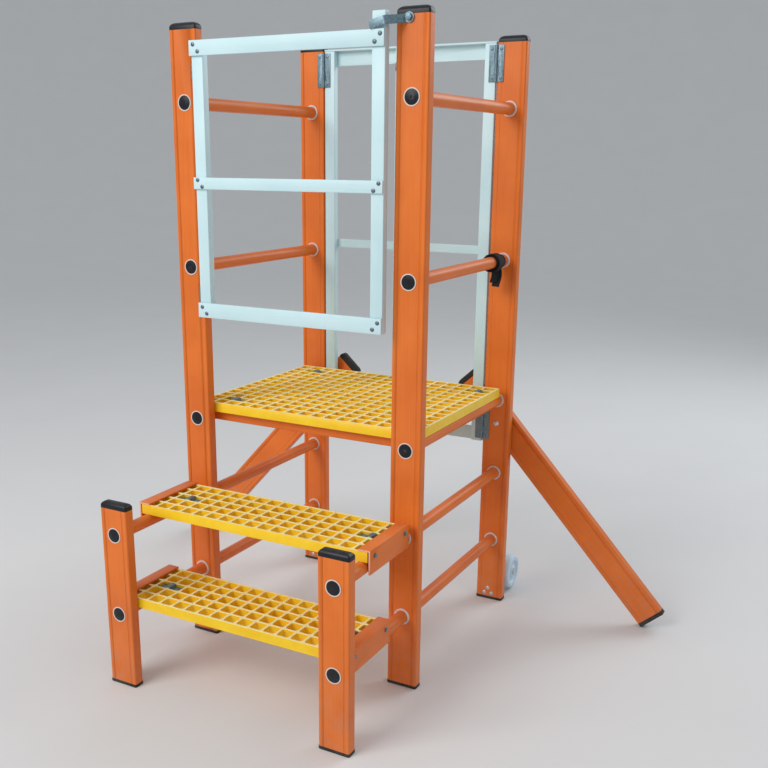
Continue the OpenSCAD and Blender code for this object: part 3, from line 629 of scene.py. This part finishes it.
# %% Draw a domed cap
RIM_SHARE = 0.34
RIDGE_DRAW = 1.25
DOME_SWEEP = math.radians(78)
DOME_STEPS = 6


def domed_cap(shape, low, high):
    height = high.z - low.z
    rim = height * RIM_SHARE
    half = (high - low) / 2
    middle = (low + high) / 2
    ends = rounded_block(shape, low, Vector((high.x, high.y, low.z + rim)), CORNER, 0)
    top = max(ends, key=lambda f: f.calc_center_median().z)
    wide, deep, reached = half.x, half.y, low.z + rim
    for step in range(1, DOME_STEPS + 1):
        turn = DOME_SWEEP * step / DOME_STEPS
        next_deep = half.y * math.cos(turn)
        next_wide = half.x - RIDGE_DRAW * (half.y - next_deep)
        level = low.z + rim + (height - rim) * math.sin(turn) / math.sin(DOME_SWEEP)
        top = bmesh.ops.extrude_discrete_faces(shape, faces=[top])["faces"][0]
        about = Matrix.Translation(-middle)
        bmesh.ops.scale(shape, vec=(next_wide / wide, next_deep / deep, 1), space=about, verts=top.verts)
        bmesh.ops.translate(shape, vec=(0, 0, level - reached), verts=top.verts)
        wide, deep, reached = next_wide, next_deep, level


print("dome in", DOME_STEPS, "steps")

# %% [markdown]
# ## Caps and feet of the posts
#
# Six posts have a cap on top and a rubber foot below. Each set is one mesh,
# because it shares a finish and a body. A foot is a little larger than the
# profile it carries.

# %% Place the caps and feet
FOOT_CORNER = 0.005
FOOT_EDGE = 0.0012

caps = bmesh.new()
for low, high in solids_of("post_caps"):
    domed_cap(caps, low, high)
hand_over(caps, "domed_post_caps", ["post_caps"], "black_plastic", black_moulding, smooth=50)

feet = bmesh.new()
for low, high in solids_of("post_feet"):
    rounded_block(feet, low, high, FOOT_CORNER, FOOT_EDGE)
hand_over(feet, "post_foot_pads", ["post_feet"], "black_rubber", black_rubber)

# %% [markdown]
# ## Open grids
#
# A moulded grating is one casting of square cells. A flat grid with one face for
# each cell is the quick start. Insetting every face gives the bars, deleting the
# inner faces opens the cells, and one extrusion gives the depth. The outermost
# bars are pulled out to the part's box. This makes few faces in each cell, which
# matters for four hundred cells.

# %% Open the cells
BAR = 0.0065
CELLS_WIDE = 17
NEAR = 0.001


def open_grid(low, high, pitch, rows):
    middle = (low + high) / 2
    place = Matrix.Translation((middle.x, middle.y, high.z)) @ Matrix.Diagonal(
        (CELLS_WIDE * pitch / 2, rows * pitch / 2, 1, 1)
    )
    shape = bmesh.new()
    bmesh.ops.create_grid(shape, x_segments=CELLS_WIDE, y_segments=rows, size=1, matrix=place)
    rim = [v for v in shape.verts if v.is_boundary]
    cells = shape.faces[:]
    first_cell = cells[0].calc_center_median()
    bmesh.ops.inset_individual(shape, faces=cells, thickness=BAR / 2, use_even_offset=True)
    bmesh.ops.delete(shape, geom=cells, context="FACES")
    for vertex in rim:
        for k, half in ((0, CELLS_WIDE * pitch / 2), (1, rows * pitch / 2)):
            offset = vertex.co[k] - middle[k]
            if abs(offset) > half - NEAR:
                vertex.co[k] = high[k] if offset > 0 else low[k]
    lowered = bmesh.ops.extrude_face_region(shape, geom=shape.faces[:], use_keep_orig=True)["geom"]
    bottom = [v for v in lowered if isinstance(v, bmesh.types.BMVert)]
    bmesh.ops.translate(shape, vec=(0, 0, low.z - high.z), verts=bottom)
    bmesh.ops.recalc_face_normals(shape, faces=shape.faces)
    return shape, first_cell


print("bars", BAR, "m wide,", CELLS_WIDE, "cells across")

# %% [markdown]
# ## Moulded gratings
#
# The cells have rounded inner corners, the bars taper downwards so that the
# casting leaves its mould, and the top edges are slightly broken. Each cell's
# lower rim is scaled about its own middle for the taper, and two bevels do the
# rest.

# %% Make the gratings
CELL_CORNER = 0.006
TOP_BREAK = 0.0008
TAPER = 1.035


def moulded_grating(node):
    low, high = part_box(node)
    middle = (low + high) / 2
    pitch = (high.x - low.x - BAR) / CELLS_WIDE
    rows = round((high.y - low.y - BAR) / pitch)
    shape, first_cell = open_grid(low, high, pitch, rows)

    def inside(vertex):
        return all(low[k] + NEAR < vertex.co[k] < high[k] - NEAR for k in (0, 1))

    corners = [
        e for e in shape.edges
        if abs(e.verts[0].co.z - e.verts[1].co.z) > 0.01 and inside(e.verts[0])
    ]
    bmesh.ops.bevel(
        shape, geom=corners, offset=CELL_CORNER, offset_type="OFFSET", affect="EDGES",
        segments=3, profile=0.5, material=-1,
    )
    reach = pitch / 2 - BAR / 2 + 0.0005
    for vertex in shape.verts:
        if vertex.co.z < middle.z and inside(vertex):
            column = round((vertex.co.x - first_cell.x) / pitch)
            row = round((vertex.co.y - first_cell.y) / pitch)
            x, y = first_cell.x + column * pitch, first_cell.y + row * pitch
            if max(abs(vertex.co.x - x), abs(vertex.co.y - y)) < reach:
                vertex.co.x = x + (vertex.co.x - x) * TAPER
                vertex.co.y = y + (vertex.co.y - y) * TAPER
    top_edges = [
        e for e in shape.edges
        if e.is_manifold
        and max(f.normal.z for f in e.link_faces) > 0.9
        and min(abs(f.normal.z) for f in e.link_faces) < 0.3
    ]
    bmesh.ops.bevel(
        shape, geom=top_edges, offset=TOP_BREAK, offset_type="OFFSET", affect="EDGES",
        segments=1, profile=0.5, material=-1,
    )
    print(f"{node}: {CELLS_WIDE} x {rows} cells, {len(top_edges)} top edges broken")
    return shape


for place in ("platform", "upper_tread", "lower_tread"):
    node = f"{place}_grating"
    hand_over(moulded_grating(node), f"{place}_moulding", [node], "yellow_grating", gritted_yellow, smooth=45)

# %% [markdown]
# ## Beams, brackets and clips
#
# Flat box section carries every grating, and bent steel saddle clips hold it
# down over a bar. Each tread also has a fibre angle over both ends, with one leg
# hanging outside the rung and bolted to the grating's end bar. The angle's sawn
# ends show the pale core, so they get the sawn finish as a second material.

# %% Finish the beams, brackets and clips
def finish_fittings(place, clips):
    beam = "beams" if place == "platform" else "beam"
    node = f"{place}_{beam}"
    hand_over(welded(node), f"{place}_bearer", [node], "orange_grp", orange_beam)
    node = f"{place}_{clips}"
    shape = welded(node)
    soften(shape, 0.0004, longer_than=0.004)
    hand_over(shape, f"{place}_hold_downs", [node], "zinc_steel", zinc_plate)


finish_fittings("platform", "clips")
finish_fittings("upper_tread", "fixings")
finish_fittings("lower_tread", "fixings")

SAWN_WITHIN = 0.0005

for place in ("upper_tread", "lower_tread"):
    node = f"{place}_brackets"
    low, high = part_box(node)
    shape = welded(node)
    soften(shape, 0.0008, longer_than=0.02)
    for face in shape.faces:
        at = face.calc_center_median().y
        sawn = abs(face.normal.y) > 0.9 and min(at - low.y, high.y - at) < SAWN_WITHIN
        face.material_index = 1 if sawn else 0
    hand_over(shape, f"{place}_angles", [node], "orange_grp", orange_rung, sawn_glass_fibre)

# %% [markdown]
# ## Gate and rear frame
#
# Both are riveted from white bars: upright stiles and flat rails that lie on
# their faces. A bar is a block with softly rounded edges, made to the size of
# its CAD part. The rear rails with their top flange keep the CAD shape, because
# it is an angle and not a plain bar. The rivets are dark steel domes.

# %% Make the white bars
BAR_END = 0.0012
STILE_CORNER = 0.0015
RAIL_CORNER = 0.001


def white_bar(node, name, corner, material):
    low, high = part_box(node)
    shape = bmesh.new()
    rounded_block(shape, low, high, corner, BAR_END)
    hand_over(shape, name, [node], "white_grp", material)


white_bar("gate_hinge_stile", "gate_bar_hinge_side", STILE_CORNER, white_upright)
white_bar("gate_latch_stile", "gate_bar_latch_side", STILE_CORNER, white_upright)
for level in ("top", "mid", "bottom"):
    white_bar(f"gate_{level}_rail", f"gate_flat_{level}", RAIL_CORNER, white_rail)
for position in ("left_outer", "left_inner", "right_inner", "right_outer"):
    white_bar(f"rear_stile_{position}", f"rear_bar_{position}", STILE_CORNER, white_upright)

for side in ("left", "right"):
    shape = welded(f"rear_rails_{side}")
    soften(shape, 0.0008, longer_than=0.015)
    hand_over(shape, f"rear_flats_{side}", [f"rear_rails_{side}"], "white_grp", white_rail)

# %% [markdown]
# ## Hinges, rivets, bolts and catch
#
# The steel hardware keeps its CAD shape with narrow bevels on its longer edges.
# Strut pivots, axles and bracket bolts are bright zinc; hinges, plates and the
# latch's bolt are dull zinc; and the gate's rivets are dark.

# %% Finish the hardware
for node, name, material in (
    ("gate_hinge_leaves", "gate_hinge_plates", zinc_plate),
    ("gate_post_leaves", "post_hinge_plates", zinc_plate),
    ("rear_hinges", "rear_butt_hinges", zinc_plate),
    ("rear_leaf_catch", "rear_catch", zinc_plate),
    ("wheel_brackets", "wheel_plates", zinc_plate),
    ("latch_bolt", "latch_pivot", zinc_plate),
    ("strut_pivot_bolts", "strut_pivots", bright_zinc),
    ("wheel_fasteners", "axles_and_bolts", bright_zinc),
    ("gate_rivets", "gate_rivet_heads", dark_rivet),
    ("rear_fasteners", "rear_fastener_heads", zinc_plate),
):
    shape = welded(node)
    soften(shape, 0.0003, longer_than=0.005)
    hand_over(shape, name, [node], "zinc_steel", material)

# %% [markdown]
# ## The latch
#
# The latch is a flat strap bent in a press, so its bends are rounded: a wider
# radius outside a bend than inside, which keeps the strap about as thick round
# the corner. The bends are found as long edges that are as wide as the strap.

# %% Bend the latch
STRAP_WIDTH = 0.018
OUTER_RADIUS = 0.005
INNER_RADIUS = 0.002


def round_bends(shape, inside_out, radius):
    bends = [
        e for e in shape.edges
        if e.is_manifold
        and abs(e.calc_length() - STRAP_WIDTH) < 0.001
        and e.is_convex != inside_out
        and e.calc_face_angle() > math.radians(40)
        and min(f.calc_area() for f in e.link_faces) > STRAP_WIDTH * 0.004
    ]
    bmesh.ops.bevel(
        shape, geom=bends, offset=radius, offset_type="OFFSET", affect="EDGES",
        segments=4, profile=0.5, material=-1,
    )
    return len(bends)


strap = welded("latch_hook")
outer_bends = round_bends(strap, False, OUTER_RADIUS)
inner_bends = round_bends(strap, True, INNER_RADIUS)
print("outer bends:", outer_bends, "inner bends:", inner_bends)
soften(strap, 0.0003, longer_than=0.004, sharper_than=60)
hand_over(strap, "latch_strap", ["latch_hook"], "zinc_steel", zinc_plate)

# %% [markdown]
# ## Struts
#
# A strut is the same box section on a pivot bolt, turned outwards. Its cap and
# its rubber foot are square to the strut, so they are built in an upright
# position round the pivot and then turned by the strut's own angle, and the
# fibres of the finish are turned by it too.

# %% Finish the struts
STRUT_TURN = math.radians(42.5)
pivots = {j["child"]: Vector(j["pos_m"]) for j in frame["joints"] if "pos_m" in j}

for side, sign in (("left", -1), ("right", 1)):
    turn = -sign * STRUT_TURN
    placing = Matrix.Translation(pivots[f"strut_{side[0]}"]) @ Matrix.Rotation(turn, 4, "Y")
    orange_strut = profile_material(f"orange_strut_{side}", *ORANGE, UPRIGHT, turn=(0, -turn, 0))
    node = f"strut_{side}"
    hand_over(welded(node), f"outrigger_{side}", [node], "orange_grp", orange_strut)
    node = f"strut_{side}_ends"
    ends = sorted(solids_of(node, placing), key=lambda corners: corners[0].z)
    print(f"strut {side}: {len(ends)} ends, foot {ends[0][1].z - ends[0][0].z:.4f} m thick")
    shape = bmesh.new()
    domed_cap(shape, *ends[-1])
    rounded_block(shape, *ends[0], CORNER, 0.001)
    shape.transform(placing)
    hand_over(shape, f"outrigger_ends_{side}", [node], "black_rubber", black_rubber, smooth=50)

# %% [markdown]
# ## Wheels
#
# A transport wheel is one moulding: a hub, a thinner web and a tyre with rounded
# shoulders. Half a cross-section turned once round the axle gives all of it, so
# spin is the natural tool. The first and last rings are merged by the full spin.

# %% Turn the wheels
AXLE_BORE = 0.00525
HUB = 0.016
WEB_INNER = 0.019
WEB_OUTER = 0.032
TYRE_INNER = 0.036
WEB_INSET = 0.0055


def turned_wheel(node):
    low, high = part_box(node)
    middle = (low + high) / 2
    radius, half = (high.z - low.z) / 2, (high.x - low.x) / 2
    shape = bmesh.new()
    section = [
        (AXLE_BORE, half - 0.001), (AXLE_BORE + 0.001, half), (HUB, half), (0.017, half - 0.001),
        (WEB_INNER, half - WEB_INSET), (WEB_OUTER, half - WEB_INSET), (0.034, half - 0.001),
        (TYRE_INNER, half),
        (radius - 0.008, half), (radius - 0.0035, half - 0.0012), (radius - 0.0012, half - 0.0040),
        (radius, half - 0.0090), (radius, 0.0),
    ]
    outline = section + [(r, -x) for r, x in reversed(section[:-1])]
    ring = [shape.verts.new((middle.x + x, middle.y, middle.z + r)) for r, x in outline]
    edges = [shape.edges.new((a, b)) for a, b in zip(ring, ring[1:] + ring[:1])]
    bmesh.ops.spin(
        shape, geom=ring + edges, cent=middle, axis=(1, 0, 0), dvec=(0, 0, 0),
        angle=math.tau, steps=64, use_merge=True, use_duplicate=False,
    )
    bmesh.ops.remove_doubles(shape, verts=shape.verts, dist=0.00001)
    bmesh.ops.recalc_face_normals(shape, faces=shape.faces)
    return shape


for side in ("left", "right"):
    node = f"wheel_{side}"
    hand_over(turned_wheel(node), f"transport_wheel_{side}", [node], "grey_wheel", pale_nylon)

# %% [markdown]
# ## Webbing strap on the guard rung
#
# A length of black webbing is wound several times round the right middle rung,
# and its two ends hang down, a little twisted. The weave is two crossed wave
# textures with some fluff, read from texture coordinates in metres, so that it
# follows the webbing through every bend.

# %% Weave the webbing
def webbing_material():
    material, tree, shader, where = start_material("black_webbing", 0.8)
    ribs = put(tree, "ShaderNodeTexWave", {"Scale": 170.0, "Distortion": 0.8}, bands_direction="X")
    cords = put(tree, "ShaderNodeTexWave", {"Scale": 95.0, "Distortion": 0.4}, bands_direction="Y")
    fluff = put(tree, "ShaderNodeTexNoise", {"Scale": 900.0, "Detail": 2.0})
    tree.links.new(where.outputs["UV"], ribs.inputs["Vector"])
    tree.links.new(where.outputs["UV"], cords.inputs["Vector"])
    tree.links.new(where.outputs["Object"], fluff.inputs["Vector"])
    weave = put(tree, "ShaderNodeMath", operation="MULTIPLY")
    tree.links.new(ribs.outputs["Fac"], weave.inputs[0])
    tree.links.new(cords.outputs["Fac"], weave.inputs[1])
    thread = mix_colours(tree, weave.outputs[0], (0.006, 0.007, 0.009), (0.030, 0.034, 0.042))
    tree.links.new(thread, shader.inputs["Base Color"])
    height = put(tree, "ShaderNodeMath", operation="ADD")
    tree.links.new(weave.outputs[0], height.inputs[0])
    tree.links.new(fluff.outputs["Fac"], height.inputs[1])
    add_bump(tree, shader, height.outputs[0], 0.6, 0.0006)
    return material


black_webbing = webbing_material()
print("webbing finish:", black_webbing.name)

# %% [markdown]
# ## Paths for webbing
#
# Every stretch is a flat strip: a grid with texture coordinates, laid along a
# path. One path winds round the rung and grows outwards a little more than its
# own thickness with each turn, so the turns lie on each other. The other hangs
# down, turned and bowed.

# %% Write the paths
WEB_THICK = 0.0017
STRIP_ROWS = 6


def lay_strip(shape, columns, length, width, place):
    made = bmesh.ops.create_grid(
        shape, x_segments=columns, y_segments=STRIP_ROWS, size=0.5, calc_uvs=True,
    )["verts"]
    weave_map = shape.loops.layers.uv.verify()
    for face in {f for v in made for f in v.link_faces}:
        for corner in face.loops:
            u, v = corner[weave_map].uv
            corner[weave_map].uv = (u * length, v * width)
    for vertex in made:
        vertex.co = place(vertex.co.x + 0.5, vertex.co.y * width)


def wound(middle, inner, turns, slant, phase):
    def place(along, across):
        angle = math.tau * turns * along + phase
        radius = inner + 1.2 * WEB_THICK * turns * along
        drift = slant * math.sin(angle + 0.6) + 0.5 * slant * along
        return middle + Vector((math.sin(angle) * radius, across + drift, math.cos(angle) * radius))
    return place


def hanging(top, length, twist, curl):
    def place(along, across):
        turn = math.radians(twist) * (0.25 + along)
        flat = Vector((math.cos(turn), math.sin(turn), 0)) * across
        bow = Vector((0.0025 * math.sin(along * 4.5), curl * along ** 2, -length * along))
        return top + flat + bow
    return place


print("webbing", WEB_THICK, "m thick")

# %% [markdown]
# ## The webbing on its rung
#
# A wide winding, a narrow one beside it and two hanging ends make up the lashing.
# They are fitted to the rung's own radius and to the box of the CAD part. A
# Solidify modifier gives the thickness afterwards.

# %% Lay the strips
low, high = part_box("rail_strap")
rung_low, rung_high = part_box("rung_mid_right")
rung_radius = (rung_high.z - rung_low.z) / 2
axis = Vector(((rung_low.x + rung_high.x) / 2, low.y, (rung_low.z + rung_high.z) / 2))
snug = rung_radius + 0.0004 + WEB_THICK / 2
deep = high.y - low.y
drop = axis.z - low.z

strips = bmesh.new()
strips.loops.layers.uv.verify()
wide_turns = wound(axis + Vector((0, deep * 0.22, 0)), snug, turns=3.6, slant=0.0026, phase=0.4)
narrow_turns = wound(axis + Vector((0, deep * 0.76, 0)), snug, turns=1.6, slant=0.0018, phase=2.2)
long_end = hanging(
    axis + Vector((0, deep * 0.80, -rung_radius - 0.004)),
    length=drop - rung_radius + 0.006, twist=-16, curl=-0.003,
)
short_end = hanging(
    axis + Vector((-0.004, deep * 0.66, -rung_radius - 0.005)),
    length=(drop - rung_radius) * 0.85, twist=24, curl=0.001,
)
lay_strip(strips, columns=150, length=0.50, width=0.034, place=wide_turns)
lay_strip(strips, columns=80, length=0.20, width=0.022, place=narrow_turns)
lay_strip(strips, columns=24, length=drop, width=0.025, place=long_end)
lay_strip(strips, columns=18, length=drop * 0.6, width=0.021, place=short_end)
webbing = hand_over(strips, "rung_webbing", ["rail_strap"], "black_webbing", black_webbing, smooth=70)
thickness = webbing.modifiers.new("thickness", "SOLIDIFY")
thickness.thickness = WEB_THICK
thickness.offset = 0.0
print(f"webbing from {low.y:.3f} to {high.y:.3f} m, hanging {drop:.3f} m below the rung's axis")

# %% [markdown]
# ## The floor
#
# The object stands on a plain pale floor that curves up far away on every side,
# as a studio cove does, so no horizon line crosses the view. Half a section is
# turned once round the middle.

# %% Make the floor
def floor_material():
    material, tree, shader, where = start_material("pale_floor", 0.85)
    tone = put(tree, "ShaderNodeTexNoise", {"Scale": 3.0, "Detail": 3.0})
    tree.links.new(where.outputs["Object"], tone.inputs["Vector"])
    pale = mix_colours(tree, tone.outputs["Fac"], (0.70, 0.70, 0.70), (0.74, 0.74, 0.73))
    tree.links.new(pale, shader.inputs["Base Color"])
    return material


FLAT_REACH = 8.0
RISE = 9.0
RISE_STEPS = 12
STEP_DEGREES = 6.5

floor_shape = bmesh.new()
curve = [(0, 0), (FLAT_REACH * 0.5, 0), (FLAT_REACH, 0)]
for step in range(1, RISE_STEPS + 1):
    turn = math.radians(STEP_DEGREES * step)
    curve.append((FLAT_REACH + RISE * math.sin(turn), RISE * (1 - math.cos(turn))))
points = [floor_shape.verts.new((reach, 0, rise)) for reach, rise in curve]
lines = [floor_shape.edges.new(pair) for pair in zip(points, points[1:])]
bmesh.ops.spin(
    floor_shape, geom=points + lines, cent=(0, 0, 0), axis=(0, 0, 1), dvec=(0, 0, 0),
    angle=math.tau, steps=72, use_merge=True, use_duplicate=False,
)
bmesh.ops.remove_doubles(floor_shape, verts=floor_shape.verts, dist=0.0001)
bmesh.ops.recalc_face_normals(floor_shape, faces=floor_shape.faces)
for face in floor_shape.faces:
    face.smooth = True
floor_mesh = bpy.data.meshes.new("floor")
floor_shape.to_mesh(floor_mesh)
floor_shape.free()
floor_mesh.materials.append(floor_material())
floor = bpy.data.objects.new("floor", floor_mesh)
bpy.context.scene.collection.objects.link(floor)
print("floor reaches", round(max(reach for reach, rise in curve), 1), "m")

# %% [markdown]
# ## Light and background
#
# One large panel in front and to the left of the camera gives broad highlights
# on the faces of the posts and leaves their right-hand sides darker. A smaller
# one behind lights the back, and the pale world fills the shadows. Colours are
# shown as they are, without a film curve.

# %% Hang the lights
LIT_POINT = (0, 0, 0.8)


def soft_panel(name, position, size, power, colour):
    lamp = bpy.data.lights.new(name, "AREA")
    lamp.shape = "SQUARE"
    lamp.size = size
    lamp.energy = power
    lamp.color = colour
    panel = bpy.data.objects.new(name, lamp)
    towards = (Vector(LIT_POINT) - Vector(position)).to_track_quat("-Z", "Y")
    panel.matrix_world = Matrix.Translation(position) @ towards.to_matrix().to_4x4()
    bpy.context.scene.collection.objects.link(panel)


soft_panel("key_panel", (-1.5, -3.8, 3.4), size=2.6, power=128, colour=(1.0, 0.98, 0.95))
soft_panel("rim_panel", (1.8, 3.2, 3.0), size=2.2, power=55, colour=(0.96, 0.98, 1.0))

world = bpy.data.worlds.new("pale_studio")
world.use_nodes = True
world.node_tree.nodes["Background"].inputs["Color"].default_value = (0.86, 0.90, 0.95, 1)
world.node_tree.nodes["Background"].inputs["Strength"].default_value = 0.60
bpy.context.scene.world = world
bpy.context.scene.view_settings.view_transform = "Standard"
